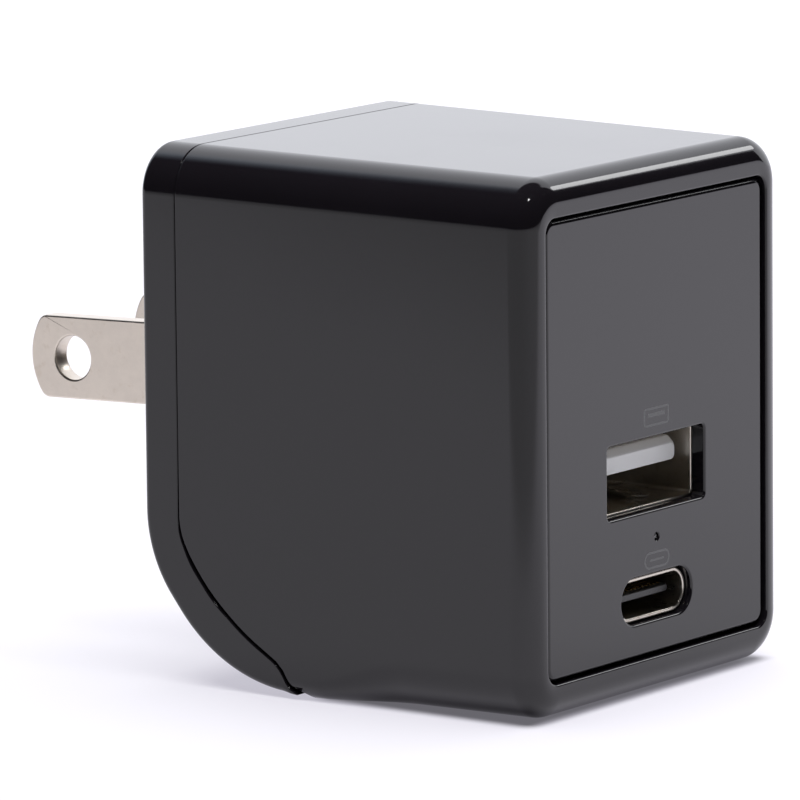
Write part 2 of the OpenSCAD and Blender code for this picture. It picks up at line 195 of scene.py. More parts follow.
class Paint:
    def __init__(self, name, **shader):
        self.material = bpy.data.materials.new(name)
        self.material.use_nodes = True
        self.tree = self.material.node_tree
        self.tree.nodes.clear()
        self.end = self.tree.nodes.new("ShaderNodeOutputMaterial")
        self.shader = self.tree.nodes.new("ShaderNodeBsdfPrincipled")
        self.tree.links.new(self.shader.outputs[0], self.end.inputs["Surface"])
        for key, value in shader.items():
            self.shader.inputs[key.replace("_", " ")].default_value = value
        self.place = self.node("ShaderNodeTexCoord", {}, out="Object")

    def node(self, kind, settings, *values, out=0, **named):
        made = self.tree.nodes.new(kind)
        for key, value in settings.items():
            if key == "stops":
                while len(made.color_ramp.elements) < len(value):
                    made.color_ramp.elements.new(0.5)
                for spot, (at, colour) in zip(made.color_ramp.elements, value):
                    spot.position, spot.color = at, (*colour, 1)
            else:
                setattr(made, key, value)
        for socket, value in [*zip(made.inputs, values)] + [(made.inputs[k.replace("_", " ")], v)
                                                            for k, v in named.items()]:
            if isinstance(value, Wire):
                self.tree.links.new(value.socket, socket)
            elif value is not None:
                socket.default_value = value
        return Wire(self, made.outputs[out])

    def feed(self, socket, value):
        self.tree.links.new(value.socket, self.shader.inputs[socket])

    def stretched(self, scale):
        return self.node("ShaderNodeVectorMath", {"operation": "MULTIPLY"}, self.place, scale)

    def noise(self, perMm, detail=3, rough=0.5, stretch=None, out=0):
        where = self.stretched(stretch) if stretch else self.place
        return self.node("ShaderNodeTexNoise", {}, out=out, Vector=where, Scale=perMm * 1000,
                         Detail=detail, Roughness=rough)

    def cells(self, perMm, feature="F1", stretch=None):
        where = self.stretched(stretch) if stretch else self.place
        return self.node("ShaderNodeTexVoronoi", {"feature": feature}, Vector=where, Scale=perMm * 1000)

    def ease(self, value, low, high):  # 0 below low, 1 above high
        return self.node("ShaderNodeMapRange", {"interpolation_type": "SMOOTHSTEP"}, Value=value,
                         From_Min=low, From_Max=high)

    def blend(self, mask, first, second):
        return self.node("ShaderNodeMix", {"data_type": "RGBA"}, mask, None, None, None, None, None,
                         first, second, out=2)

    def axes(self):
        split = self.node("ShaderNodeSeparateXYZ", {}, self.place)
        return [Wire(self, split.socket.node.outputs[i]) for i in range(3)]

    def relief(self, height, depthMm, strength=1.0):
        self.feed("Normal", self.node("ShaderNodeBump", {}, Height=height, Distance=depthMm * mm,
                                      Strength=strength))


def grey(v, tint=(1, 1, 1)):
    return (v * tint[0], v * tint[1], v * tint[2], 1)


shellFinish = dict(colour=0.0056, tint=(1, 0.84, 1.11), rough=0.075, smudge=0.05, peelMm=0.0012, ior=1.5)


def shellPaint(name, finish, marks=None):
    p = Paint(name, IOR=finish["ior"])
    cloud = p.noise(0.09, 4, 0.6)
    peel = p.noise(1.6, 2, 0.45)
    dust = p.ease(p.noise(5.5, 1, 0.4), 0.74, 0.8)
    base, tint = finish["colour"], finish["tint"]
    tone = p.blend(cloud, grey(base * 0.85, tint), grey(base * 1.2, tint))
    tone = p.blend(dust * 0.25, tone, grey(0.03))
    rough = finish["rough"] + p.ease(cloud, 0.42, 0.75) * finish["smudge"] + dust * 0.12
    if marks:
        ink = marks(p)
        tone = p.blend(ink, tone, grey(0.075, (0.98, 1, 1.02)))
        rough = rough + ink * 0.35
    p.feed("Base Color", tone)
    p.feed("Roughness", rough)
    p.relief(peel + dust * 0.6, finish["peelMm"])
    return p.material


portMarks = dict(upperZ=-1.5, lowerZ=-12.2, halfWidth=1.55, halfHeight=0.62, line=0.16)


def portInk(p):
    # plain outlines of the two openings, one above each
    x, y, z = p.axes()

    def outline(atZ, halfW, halfH, r):
        dx = (abs(x * 1000) - (halfW - r)).above(0)
        dz = (abs(z * 1000 - atZ) - (halfH - r)).above(0)
        away = abs((dx * dx + dz * dz) ** 0.5 - r)
        return 1 - p.ease(away, portMarks["line"] * 0.35, portMarks["line"] * 0.65)

    def fill(atZ, halfW, halfH):
        inside = (halfW - abs(x * 1000)).below(halfH - abs(z * 1000 - atZ))
        return p.ease(inside, 0, 0.05)

    w, h = portMarks["halfWidth"], portMarks["halfHeight"]
    upper = outline(portMarks["upperZ"], w, h, 0.15).above(fill(portMarks["upperZ"] + 0.14, w - 0.45, 0.17))
    lower = outline(portMarks["lowerZ"], w, h * 0.9, h * 0.9).above(fill(portMarks["lowerZ"], w - 0.62, 0.1))
    return upper.above(lower) * (y * 1000 < -34.45)


def metalPaint(name, colour, rough, brushed=(1, 0.06, 1), linesMm=0.0016, mottle=0.1, worn=None):
    p = Paint(name, Metallic=1.0)
    patches = p.noise(0.35, 4, 0.6)
    lines = p.noise(7, 3, 0.6, stretch=brushed)
    shade = tuple(c * (1 - mottle) for c in colour)
    bright = tuple(min(c * (1 + mottle * 0.6), 1) for c in colour)
    tone = p.blend(p.ease(patches, 0.3, 0.7), (*shade, 1), (*bright, 1))
    if worn:
        tone = p.blend(p.ease(p.noise(1.1, 5, 0.65), 0.56, 0.72) * 0.5, tone, (*worn, 1))
    p.feed("Base Color", tone)
    p.feed("Roughness", rough * 0.8 + p.ease(patches, 0.25, 0.8) * rough * 0.35 + lines * rough * 0.3)
    p.relief(lines, linesMm)
    return p.material


def mouldedPaint(name, colour, rough=0.45, grainPerMm=5, grainMm=0.004, vary=0.12, specks=None, ior=1.5):
    p = Paint(name, IOR=ior)
    cloud = p.noise(0.25, 3, 0.55)
    grain = p.noise(grainPerMm, 3, 0.6)
    tone = p.blend(cloud, (*(c * (1 - vary) for c in colour), 1), (*(min(c * (1 + vary), 1) for c in colour), 1))
    if specks:
        tone = p.blend(p.ease(p.noise(3.2, 2, 0.5), 0.62, 0.68), tone, (*specks, 1))
    p.feed("Base Color", tone)
    p.feed("Roughness", rough * 0.85 + grain * rough * 0.3)
    p.relief(grain, grainMm)
    return p.material


def boardPaint(name, colour, trackAxes):
    # solder resist with raised tracks under it and bright pads
    p = Paint(name, IOR=1.5)
    x, y, z = p.axes()
    across, along = (x, y) if trackAxes == "xy" else (x, z)
    blocks = p.cells(0.32, stretch=(1, 1, 1))
    wander = p.noise(0.3, 1, 0.4)
    tracks = p.ease(((across + wander * 0.002) * 4200).sine() * (along * 900 + blocks * 6).sine(), 0.15, 0.35)
    pads = p.ease(p.cells(0.55), 0.13, 0.1)
    dark = tuple(c * 0.7 for c in colour)
    p.feed("Base Color", p.blend(pads, p.blend(tracks, (*colour, 1), (*dark, 1)), (0.62, 0.6, 0.55, 1)))
    p.feed("Metallic", pads)
    p.feed("Roughness", 0.32 - pads * 0.08 + p.noise(4, 2, 0.5) * 0.08)
    p.relief(tracks * 0.6 + pads, 0.03)
    return p.material


def windingPaint(name, colour, turnMm):
    p = Paint(name, Metallic=1.0)
    z = p.axes()[2]
    turns = (z * (math.tau / (turnMm * mm))).sine()
    # painted shade: the grooves between the turns are darkened to 0.35 of the copper colour
    p.feed("Base Color", p.blend(p.ease(turns, -0.9, 0.4), (*(c * 0.35 for c in colour), 1), (*colour, 1)))
    p.feed("Roughness", 0.26 + p.noise(2.5, 3, 0.5) * 0.14)
    p.relief(turns, 0.03)
    return p.material


def sleevePaint(name, colour, band):
    # shrink sleeve with a lighter stripe down one side and fine rings where it has shrunk
    p = Paint(name, IOR=1.5)
    x = p.axes()[0]
    stripe = p.ease(x * 1000, 11.6, 11.7)
    rings = p.noise(2.4, 3, 0.6, stretch=(0.15, 0.15, 1))
    tone = p.blend(p.noise(0.4, 3, 0.5), (*(c * 0.85 for c in colour), 1), (*(c * 1.15 for c in colour), 1))
    p.feed("Base Color", p.blend(stripe, tone, (*band, 1)))
    p.feed("Roughness", 0.22 + rings * 0.15)
    p.relief(rings, 0.006)
    return p.material


def clearPaint(name, colour, rough):
    p = Paint(name, IOR=1.49, Transmission_Weight=0.85)
    p.feed("Base Color", p.blend(p.noise(0.8, 2, 0.5), (*(c * 0.93 for c in colour), 1), (*colour, 1)))
    p.feed("Roughness", rough + p.noise(3, 2, 0.5) * rough)
    p.relief(p.noise(2.2, 2, 0.5), 0.0015)
    return p.material


paints = {
    "shell_black": shellPaint("glossyBlackShell", shellFinish),
    "carrier_black": mouldedPaint("mattBlackNylon", (0.014, 0.014, 0.015), 0.38, 6, 0.003),
    "blade_nickel": metalPaint("satinNickel", (0.71, 0.64, 0.56), 0.3, (1, 0.05, 1), 0.0014, 0.1,
                               (0.57, 0.49, 0.4)),
    "bracket_white": mouldedPaint("whiteNylon", (0.78, 0.77, 0.72), 0.4),
    "spring_steel": metalPaint("springSteel", (0.56, 0.56, 0.57), 0.26, (0.05, 1, 1)),
    "contact_copper": metalPaint("phosphorBronze", (0.72, 0.43, 0.22), 0.3, (1, 1, 0.05), 0.002, 0.14,
                                 (0.4, 0.22, 0.14)),
    "wire_black": mouldedPaint("blackWire", (0.02, 0.02, 0.02), 0.4, 3, 0.004),
    "wire_white": mouldedPaint("whiteWire", (0.74, 0.74, 0.72), 0.4, 3, 0.004),
    "board_green": boardPaint("greenResist", (0.018, 0.16, 0.06), "xy"),
    "fuse_brown": mouldedPaint("brownSleeve", (0.16, 0.075, 0.035), 0.34, 3, 0.005, 0.2, (0.3, 0.17, 0.1)),
    "ferrite_grey": mouldedPaint("sinteredFerrite", (0.05, 0.047, 0.047), 0.55, 7, 0.012, 0.2, (0.12, 0.115, 0.11)),
    "chip_black": mouldedPaint("chipEpoxy", (0.022, 0.022, 0.023), 0.55, 9, 0.004, 0.15),
    "capacitor_dark": sleevePaint("inkBlueSleeve", (0.018, 0.024, 0.05), (0.5, 0.52, 0.55)),
    "capacitor_bare": metalPaint("bareCan", (0.7, 0.7, 0.72), 0.24, (1, 0.08, 1), 0.002),
    "bobbin_brown": mouldedPaint("brownPhenolic", (0.09, 0.042, 0.022), 0.42, 4, 0.006, 0.2, (0.15, 0.09, 0.05)),
    "winding_copper": windingPaint("enamelledCopper", (0.72, 0.3, 0.12), 0.33),
    "tape_yellow": mouldedPaint("yellowTape", (0.72, 0.5, 0.05), 0.28, 0.9, 0.01, 0.1),
    "capacitor_blue": mouldedPaint("blueCoating", (0.03, 0.13, 0.42), 0.24, 1.2, 0.02, 0.15),
    "sheet_clear": mouldedPaint("polyesterFilm", (0.62, 0.58, 0.44), 0.22, 1.5, 0.004, 0.08),
    "lamp_clear": clearPaint("clearLens", (0.95, 0.96, 0.98), 0.12),
    "lamp_yellow": mouldedPaint("lampBody", (0.8, 0.76, 0.4), 0.35, 6, 0.003),
    "port_steel": metalPaint("portSteel", (0.56, 0.52, 0.46), 0.27, (1, 0.06, 1), 0.0016, 0.12, (0.42, 0.33, 0.24)),
    "port_white": mouldedPaint("whiteInsulator", (0.76, 0.77, 0.76), 0.36, 5, 0.002, 0.04),
    "port_black": mouldedPaint("blackInsulator", (0.02, 0.02, 0.021), 0.36, 5, 0.002),
    "contact_gold": metalPaint("goldFlash", (0.86, 0.62, 0.26), 0.22, (1, 0.06, 1), 0.001, 0.08),
}
panelPaint = shellPaint("glossyBlackPanel", shellFinish, portInk)
print("materials made:", len(paints) + 1)

for entry in frame["record"]["subparts"]:
    cadNode = frame["nodes"][entry["node"]]
    cadNode.data.materials.clear()
    cadNode.data.materials.append(paints[entry["material_slot"]])


# ---- the drafted body that housing and cover share ----

bodyForm = dict(frontWidth=33.0, rearWidth=34.1, depth=34.8, topFront=17.6, topRear=18.0,
                lowFront=22.0, lowRear=22.4, longRadius=3.6, tailRadius=1.5, frontRadius=1.9, rearRadius=0.6)
openForm = dict(halfWidth=14.3, top=14.75, low=-19.4, radius=1.2, lip=0.16)
sweepForm = dict(z=-9.18, r1=10.55, turn=37.9, straight=1.32, r2=13.42, tailEnd=-13.9)
# split between cover and housing: y, z and the gap there
splitLine = [(-3.14, 24, 0.1), (-3.14, -3, 0.1), (-3.14, -9, 0.1), (-3.16, -9.8, 0.11), (-3.3, -10.8, 0.13),
             (-3.72, -11.9, 0.16), (-4.39, -13.05, 0.18), (-5.27, -14.3, 0.2), (-6.32, -15.5, 0.2),
             (-7.47, -16.6, 0.2), (-8.72, -17.65, 0.2), (-9.92, -18.5, 0.2), (-11.05, -19.2, 0.2),
             (-11.85, -19.72, 0.21), (-12.37, -20.25, 0.22), (-12.72, -20.85, 0.23), (-13.12, -21.38, 0.24),
             (-13.75, -21.78, 0.24), (-14.3, -22.02, 0.22), (-14.75, -22.4, 0.2)]


def halfWidth(y):
    return (bodyForm["rearWidth"] + (bodyForm["rearWidth"] - bodyForm["frontWidth"]) * y / bodyForm["depth"]) / 2


def topAt(y):
    return bodyForm["topRear"] + (bodyForm["topRear"] - bodyForm["topFront"]) * y / bodyForm["depth"]


def lowAt(y):
    return -bodyForm["lowRear"] - (bodyForm["lowRear"] - bodyForm["lowFront"]) * y / bodyForm["depth"]


def smoothSplit(side):  # side 0 is the cover's edge, 1 the housing's
    knots = splitLine
    fine = []
    for i in range(len(knots) - 1):
        a, b, c, d = (knots[min(max(i + k, 0), len(knots) - 1)] for k in (-1, 0, 1, 2))
        for j in range(10):
            t = j / 10
            fine.append(tuple(0.5 * (2 * q + (r - p) * t + (2 * p - 5 * q + 4 * r - s) * t * t
                                     + (3 * q - p - 3 * r + s) * t ** 3) for p, q, r, s in zip(a, b, c, d)))
    fine.append(knots[-1])
    moved = []
    for i, (y, z, gap) in enumerate(fine):
        p, q = fine[max(i - 1, 0)], fine[min(i + 1, len(fine) - 1)]
        length = math.hypot(q[0] - p[0], q[1] - p[1])
        moved.append((y + (q[1] - p[1]) / length * gap * side, z - (q[0] - p[0]) / length * gap * side))
    return moved


coverEdge, housingEdge = smoothSplit(0), smoothSplit(1)


def housingEdgeAt(z):
    for (y0, z0), (y1, z1) in zip(housingEdge, housingEdge[1:]):
        if z <= z0 and z >= z1:
            return lerp(y0, y1, (z - z0) / (z1 - z0))
    return housingEdge[-1][0]


ringCuts = dict(corner=48, side=60, flat=6)


def bodyRing(y, inset, radius=None):
    form = (halfWidth(y) - inset, lowAt(y) + inset, topAt(y) - inset)
    if radius is not None:
        return atDepth(roundRect(*form, radius, **ringCuts), y)
    # the lower corners tighten towards the tail of the split line
    t = min(max((y + 23) / 8.5, 0), 1)
    lower = lerp(bodyForm["longRadius"], bodyForm["tailRadius"], t * t * (3 - 2 * t))
    upper, under = (roundRect(*form, max(r - inset, 0.3), **ringCuts) for r in (bodyForm["longRadius"], lower))
    return atDepth([a if a[1] > 0 else b for a, b in zip(upper, under)], y)


def edgeRing(back, inset, radius=None):  # a ring whose depth follows the split line
    ring = bodyRing(-3.3, inset, radius)
    for i in range(len(ring)):
        for _ in range(3):  # the ring grows towards the tail, so its place is found in steps
            ring[i] = bodyRing(housingEdgeAt(ring[i].z) - back, inset, radius)[i]
    return ring


def buildHousing():
    wall, edge, lip = 1.6, 0.09, openForm["lip"]
    front = -bodyForm["depth"]

    def openRing(y, grow):
        return atDepth(roundRect(openForm["halfWidth"] + grow, openForm["low"] - grow, openForm["top"] + grow,
                                 openForm["radius"] + grow, **ringCuts), y)

    rings = [openRing(front + 1.8, 0)]
    rings += [openRing(front + lip * (1 - math.sin(a)), lip * (1 - math.cos(a)))
              for a in (math.radians(90 * i / 4) for i in range(5))]
    r = bodyForm["frontRadius"]
    rings += [bodyRing(front + r * (1 - math.sin(a)), r * (1 - math.cos(a)))
              for a in (math.radians(90 - 90 * i / 14) for i in range(15))]
    rings += [bodyRing(y, 0) for y in (-23, -22, -21, -20, -19, -18, -17, -16)]
    rings += [edgeRing(edge * (1 - math.sin(a)), edge * (1 - math.cos(a)))
              for a in (math.radians(90 * i / 4) for i in range(5))]
    rings += [edgeRing(0, wall, 2), bodyRing(front + 1.8, wall, 2)]
    bm = bmesh.new()
    loft(bm, rings, loop=True)
    return asObject("mainHousing", bm)


housing = handOver(buildHousing(), paints["shell_black"], "body", ["main_housing"])
print("housing built")

coverForm = dict(wall=1.7, back=2.0, edge=0.1, windowX=(4, 9.5), windowZ=2.95, barrelBore=3.25, webBore=2.55,
                 pinBore=1.25, pivotY=-3.4, slotX=6.35, slotHalf=1.02, slotDeep=7.03, slotTop=3.475)


def sweepLine():  # points down the rear corner, each with the way that faces out there
    f, turn = sweepForm, math.radians(sweepForm["turn"])
    ways = [(math.cos(turn * i / 16), -math.sin(turn * i / 16)) for i in range(17)]
    line = [((-f["r1"] + f["r1"] * o[0], f["z"] + f["r1"] * o[1]), o) for o in ways]
    (y, z), last = line[-1]
    line += [((y + last[1] * f["straight"] * i / 3, z - last[0] * f["straight"] * i / 3), last)
             for i in range(1, 4)]
    (y, z), last = line[-1]
    cy, cz = y - f["r2"] * last[0], z - f["r2"] * last[1]
    angles = [lerp(turn, math.pi / 2, i / 30) for i in range(1, 31)]
    line += [((cy + f["r2"] * math.cos(a), cz - f["r2"] * math.sin(a)), (math.cos(a), -math.sin(a)))
             for a in angles]
    return line + [((lerp(cy, f["tailEnd"], i / 3), cz - f["r2"]), (0, -1)) for i in range(1, 4)]


def stripDepth(point, out):  # how far the side strip reaches inwards before the split line
    best = 9
    for (y0, z0), (y1, z1) in zip(coverEdge, coverEdge[1:]):
        dy, dz = y1 - y0, z1 - z0
        det = -out[0] * -dz + dy * -out[1]
        if abs(det) < 1e-9:
            continue
        ey, ez = y0 - point[0], z0 - point[1]
        depth = (ey * -dz + dy * ez) / det
        along = (-out[0] * ez + out[1] * ey) / det
        if 0 <= along <= 1 and 0.02 < depth < best:
            best = depth
    return best if best < 9 else 0.05


def buildCover():
    wall, back, edge, r = coverForm["wall"], coverForm["back"], coverForm["edge"], bodyForm["rearRadius"]
    rows = []  # each row: a function of (inset from the side, depth below the skin), and its strip depth
    for point, out in reversed(sweepLine()):
        rows.append((lambda n, d, p=point, o=out: (halfWidth(p[0] - o[0] * d) - n,
                                                   p[0] - o[0] * d, p[1] - o[1] * d),
                     max(min(stripDepth(point, out), 3.2), 0.05)))
    longR = bodyForm["longRadius"]
    for i in range(1, 5):
        rows.append((lambda n, d, t=i / 4: (halfWidth(-d) - n, -d,
                                            lerp(sweepForm["z"], topAt(-d) - longR, t)), 3.2))
    for i in range(1, 15):
        a = math.radians(90 * i / 14)
        rows.append((lambda n, d, a=a: (halfWidth(-d) - longR + (longR - n) * math.cos(a), -d,
                                        topAt(-d) - longR + (longR - n) * math.sin(a)), 3.2))
    bm = bmesh.new()
    placed = []
    for place, depth in rows:
        deep = min(back, depth * 0.8)
        soft, bend = min(edge, depth * 0.3), min(r, depth * 0.55)
        profile = [(wall, deep), (wall, depth)]
        profile += [(soft * (1 - math.sin(a)), depth - soft * (1 - math.cos(a)))
                    for a in (math.radians(90 * k / 4) for k in range(5))]
        profile += [(bend * (1 - math.cos(a)), bend * (1 - math.sin(a)))
                    for a in (math.radians(90 * k / 9) for k in range(10))]
        placed.append([[bm.verts.new((s * x, y, z)) for x, y, z in (place(n, d) for n, d in profile)]
                       for s in (-1, 1)])
    for low, high in zip(placed, placed[1:]):
        for s in (0, 1):
            for k in range(len(low[0]) - 1):
                bm.faces.new((low[s][k], low[s][k + 1], high[s][k + 1], high[s][k]))
        for k in (0, -1):
            bm.faces.new((low[0][k], low[1][k], high[1][k], high[0][k]))
    bm.faces.new(placed[0][0] + placed[0][1][::-1])
    top = placed[-1]
    for k in range(len(top[0]) - 1):
        bm.faces.new((top[0][k], top[0][k + 1], top[1][k + 1], top[1][k]))
    cover = asObject("rearCover", bm)

    y0, deep = coverForm["pivotY"], coverForm["slotDeep"]
    slotX, slotHalf = coverForm["slotX"], coverForm["slotHalf"]
    inner = [(y - 0.5 * out[0], z - 0.5 * out[1]) for (y, z), out in sweepLine()]
    channel = [(-1.7, -3.4)] + [p for p in inner if -deep - 0.8 < p[0] < -1.7]
    channel += [(-deep - 0.8, channel[-1][1]), (-deep - 0.8, -3.4)]
    adds = [acrossX("channel", channel, s * slotX - slotHalf - 0.8, s * slotX + slotHalf + 0.8) for s in (-1, 1)]
    adds += [bar("ear", (s * 10.95 - 1.35, y0, -3.39), (s * 10.95 + 1.35, -1.8, 3.39)) for s in (-1, 1)]
    combine(cover, adds, "UNION")
    cuts = []
    for s in (-1, 1):
        cuts.append(bar("slot", (s * slotX - slotHalf, -deep, -40), (s * slotX + slotHalf, 5, -2.4)))
        cuts.append(bar("slotTop", (s * slotX - slotHalf, -0.95, -3),
                        (s * slotX + slotHalf, 5, coverForm["slotTop"])))
        a, b = sorted((s * coverForm["windowX"][0], s * coverForm["windowX"][1]))
        cuts.append(acrossX("bore", disc(y0, 0, coverForm["barrelBore"]), a, b))
        cuts.append(bar("window", (a, -2.3, -coverForm["windowZ"]), (b, 1, coverForm["windowZ"])))
    cuts.append(acrossX("webBore", disc(y0, 0, coverForm["webBore"]), -4.1, 4.1))
    cuts.append(acrossX("pinBore", disc(y0, 0, coverForm["pinBore"]), -12.45, 12.45))
    return combine(cover, cuts, "DIFFERENCE")


cover = handOver(buildCover(), paints["shell_black"], "body", ["rear_cover"])
print("rear cover built")

panelForm = dict(face=-34.55, back=-31.8, flangeFront=-32.8, gap=0.2, edge=0.4, lip=0.2,
                 usbA=(12.65, 5.46, -5.72), usbC=(9.1, 3.5, -14.95),
                 ledZ=-10.5, ledRadius=0.3)


def portRect(size, grow):
    w, h, z = size
    r = {"usbA": 0.4, "usbC": h / 2}["usbA" if h > 4 else "usbC"] + grow
    return roundRect(w / 2 + grow, z - h / 2 - grow, z + h / 2 + grow, min(r, h / 2 + grow - 0.001), corner=14)


def portCutter(name, size, pocketGrow, pocketIn):
    face, lip = panelForm["face"], panelForm["lip"]
    steps = [(-30, pocketGrow), (face + pocketIn, pocketGrow), (face + pocketIn, 0)]
    steps += [(face + lip * (1 - math.sin(a)), lip * (1 - math.cos(a)))
              for a in (math.radians(90 * k / 5) for k in range(6))]
    steps.append((face - 1, lip))
    bm = bmesh.new()
    loft(bm, [atDepth(portRect(size, grow), y) for y, grow in steps])
    return asObject(name, bm)


def buildPanel():
    face, gap, edge = panelForm["face"], panelForm["gap"], panelForm["edge"]
    w, low, high = openForm["halfWidth"] - gap, openForm["low"] + gap, openForm["top"] - gap
    back, step = panelForm["back"], panelForm["flangeFront"]
    rings = [(back, w + 0.55, low - 0.8, high + 0.8, 1.2), (step, w + 0.55, low - 0.8, high + 0.8, 1.2),
             (step, w, low, high, 1.0)]
    rings += [(face + edge * (1 - math.sin(a)), w - edge * (1 - math.cos(a)), low + edge * (1 - math.cos(a)),
               high - edge * (1 - math.cos(a)), 1.0 - edge * (1 - math.cos(a)))
              for a in (math.radians(90 * k / 8) for k in range(9))]
    bm = bmesh.new()
    loft(bm, [atDepth(roundRect(hw, lo, hi, r, 12), y) for y, hw, lo, hi, r in rings])
    panel = asObject("frontPanel", bm)
    led = bmesh.new()
    hole = panelForm["ledRadius"]
    mouth = hole + 0.07
    steps = [(-30, 1.15), (face + 0.8, 1.15), (face + 0.8, hole), (face + 0.06, hole), (face, mouth),
             (face - 1, mouth)]
    loft(led, [atDepth(disc(0, panelForm["ledZ"], r, 32), y) for y, r in steps])
    cutters = [portCutter("cutA", panelForm["usbA"], 0.42, 1.1), portCutter("cutC", panelForm["usbC"], 0.12, 0.9),
               asObject("cutLed", led)]
    return combine(panel, cutters, "DIFFERENCE")


panel = handOver(buildPanel(), panelPaint, "body", ["front_panel"])
print("front panel built")


# ---- node trees for what repeats ----

class Tree:
    def __init__(self, name, **sizes):
        self.tree = bpy.data.node_groups.new(name, "GeometryNodeTree")
        face = self.tree.interface
        face.new_socket("Geometry", in_out="INPUT", socket_type="NodeSocketGeometry")
        face.new_socket("Geometry", in_out="OUTPUT", socket_type="NodeSocketGeometry")
        self.ids = {}
        for key, kind in sizes.items():
            self.ids[key] = face.new_socket(key, in_out="INPUT", socket_type=kind).identifier
        self.start = self.tree.nodes.new("NodeGroupInput")
        self.end = self.tree.nodes.new("NodeGroupOutput")

    def size(self, key):
        return self.start.outputs[key]

    def node(self, kind, settings=None, out=0, **values):
        made = self.tree.nodes.new(kind)
        for key, value in (settings or {}).items():
            setattr(made, key, value)
        for key, value in values.items():
            socket = made.inputs[key.replace("_", " ")]
            if isinstance(value, bpy.types.NodeSocket):
                self.tree.links.new(value, socket)
            else:
                socket.default_value = value
        return made.outputs[out]

    def finish(self, geometry, material):
        whole = self.node("GeometryNodeRealizeInstances", Geometry=geometry)
        self.tree.links.new(self.node("GeometryNodeSetMaterial", Geometry=whole, Material=material),
                            self.end.inputs[0])

    def grow(self, name, mesh, **values):
        obj = bpy.data.objects.new(name, mesh)
        bpy.context.scene.collection.objects.link(obj)
        step = obj.modifiers.new("grow", "NODES")
        step.node_group = self.tree
        for key, value in values.items():
            step[self.ids[key]] = value
        return settle(obj)


def pathMesh(name, points):
    mesh = bpy.data.meshes.new(name)
    mesh.from_pydata(points, [(i, i + 1) for i in range(len(points) - 1)], [])
    return mesh


def stripTree(material):
    # one flat spring strip swept along the path it is given, then set out in a row along x
    tree = Tree("stripRow", Count="NodeSocketInt", Pitch="NodeSocketFloat", Wide="NodeSocketFloat",
                Thick="NodeSocketFloat", Corner="NodeSocketFloat")
    path = tree.node("GeometryNodeMeshToCurve", Mesh=tree.start.outputs[0])
    path = tree.node("GeometryNodeSetCurveNormal", {"mode": "Z_UP"}, Curve=path)
    profile = tree.node("GeometryNodeCurvePrimitiveQuadrilateral", Width=tree.size("Wide"),
                        Height=tree.size("Thick"))
    profile = tree.node("GeometryNodeFilletCurve", {"mode": "POLY"}, Curve=profile, Radius=tree.size("Corner"),
                        Count=2)
    strip = tree.node("GeometryNodeCurveToMesh", Curve=path, **{"Profile Curve": profile, "Fill Caps": True})
    shift = tree.node("ShaderNodeCombineXYZ", X=tree.size("Pitch"))
    row = tree.node("GeometryNodeMeshLine", Count=tree.size("Count"), Offset=shift)
    tree.finish(tree.node("GeometryNodeInstanceOnPoints", Points=row, Instance=strip), material)
    return tree


contactForm = dict(usbAx=(3.5, 1.0), usbAwide=1.0, usbAthick=0.2, usbCcount=12, usbCpitch=0.5, usbCwide=0.24,
                   usbCthick=0.12, corner=0.035)


def buildContacts():
    strips = stripTree(paints["contact_gold"])
    under = panelForm["usbA"][2] + 2.56 - 0.7 - 1.84 - 0.14
    nose = [(-31.4, 0.03), (-31.2, -0.1), (-30.8, -0.26), (-30.4, -0.34), (-30.0, -0.36), (-29.6, -0.33),
            (-29.2, -0.24), (-28.8, -0.14), (-28.3, -0.06), (-27.6, -0.03), (-26.4, -0.03), (-24.2, -0.03)]
    made = []
    for x in contactForm["usbAx"]:
        path = pathMesh("path", [(-x, y, under + z) for y, z in nose])
        made.append(strips.grow("strips", path, Count=2, Pitch=2.0 * x, Wide=contactForm["usbAwide"],
                                Thick=contactForm["usbAthick"], Corner=contactForm["corner"]))
    usbA = joined("usbAContacts", made)
    made = []
    count, pitch = contactForm["usbCcount"], contactForm["usbCpitch"]
    for s in (-1, 1):
        z = panelForm["usbC"][2] + s * 0.4
        spots = [(-32.75, -0.06 * s), (-32.6, 0), (-31.6, 0.02 * s), (-30.6, 0.03 * s),
                 (-28.8, 0.03 * s), (-27.15, 0.03 * s)]
        path = pathMesh("path", [(-pitch * (count - 1) / 2, y, z + dz) for y, dz in spots])
        made.append(strips.grow("strips", path, Count=count, Pitch=pitch, Wide=contactForm["usbCwide"],
                                Thick=contactForm["usbCthick"], Corner=contactForm["corner"]))
    return usbA, joined("usbCContacts", made)


def joined(name, objects):
    bm = bmesh.new()
    for obj in objects:
        bm.from_mesh(obj.data)
        bpy.data.objects.remove(obj)
    return asObject(name, bm, 1e-4)


usbAContacts, usbCContacts = buildContacts()
handOver(usbAContacts, paints["contact_gold"], "body", ["usb_a_contacts"])
handOver(usbCContacts, paints["contact_gold"], "body", ["usb_c_contacts"])

windingForm = dict(centre=(-5.6, -25.0), low=3.2, high=9.6, radius=4.56, wire=0.15, coreIn=2.82, coreOut=4.42)


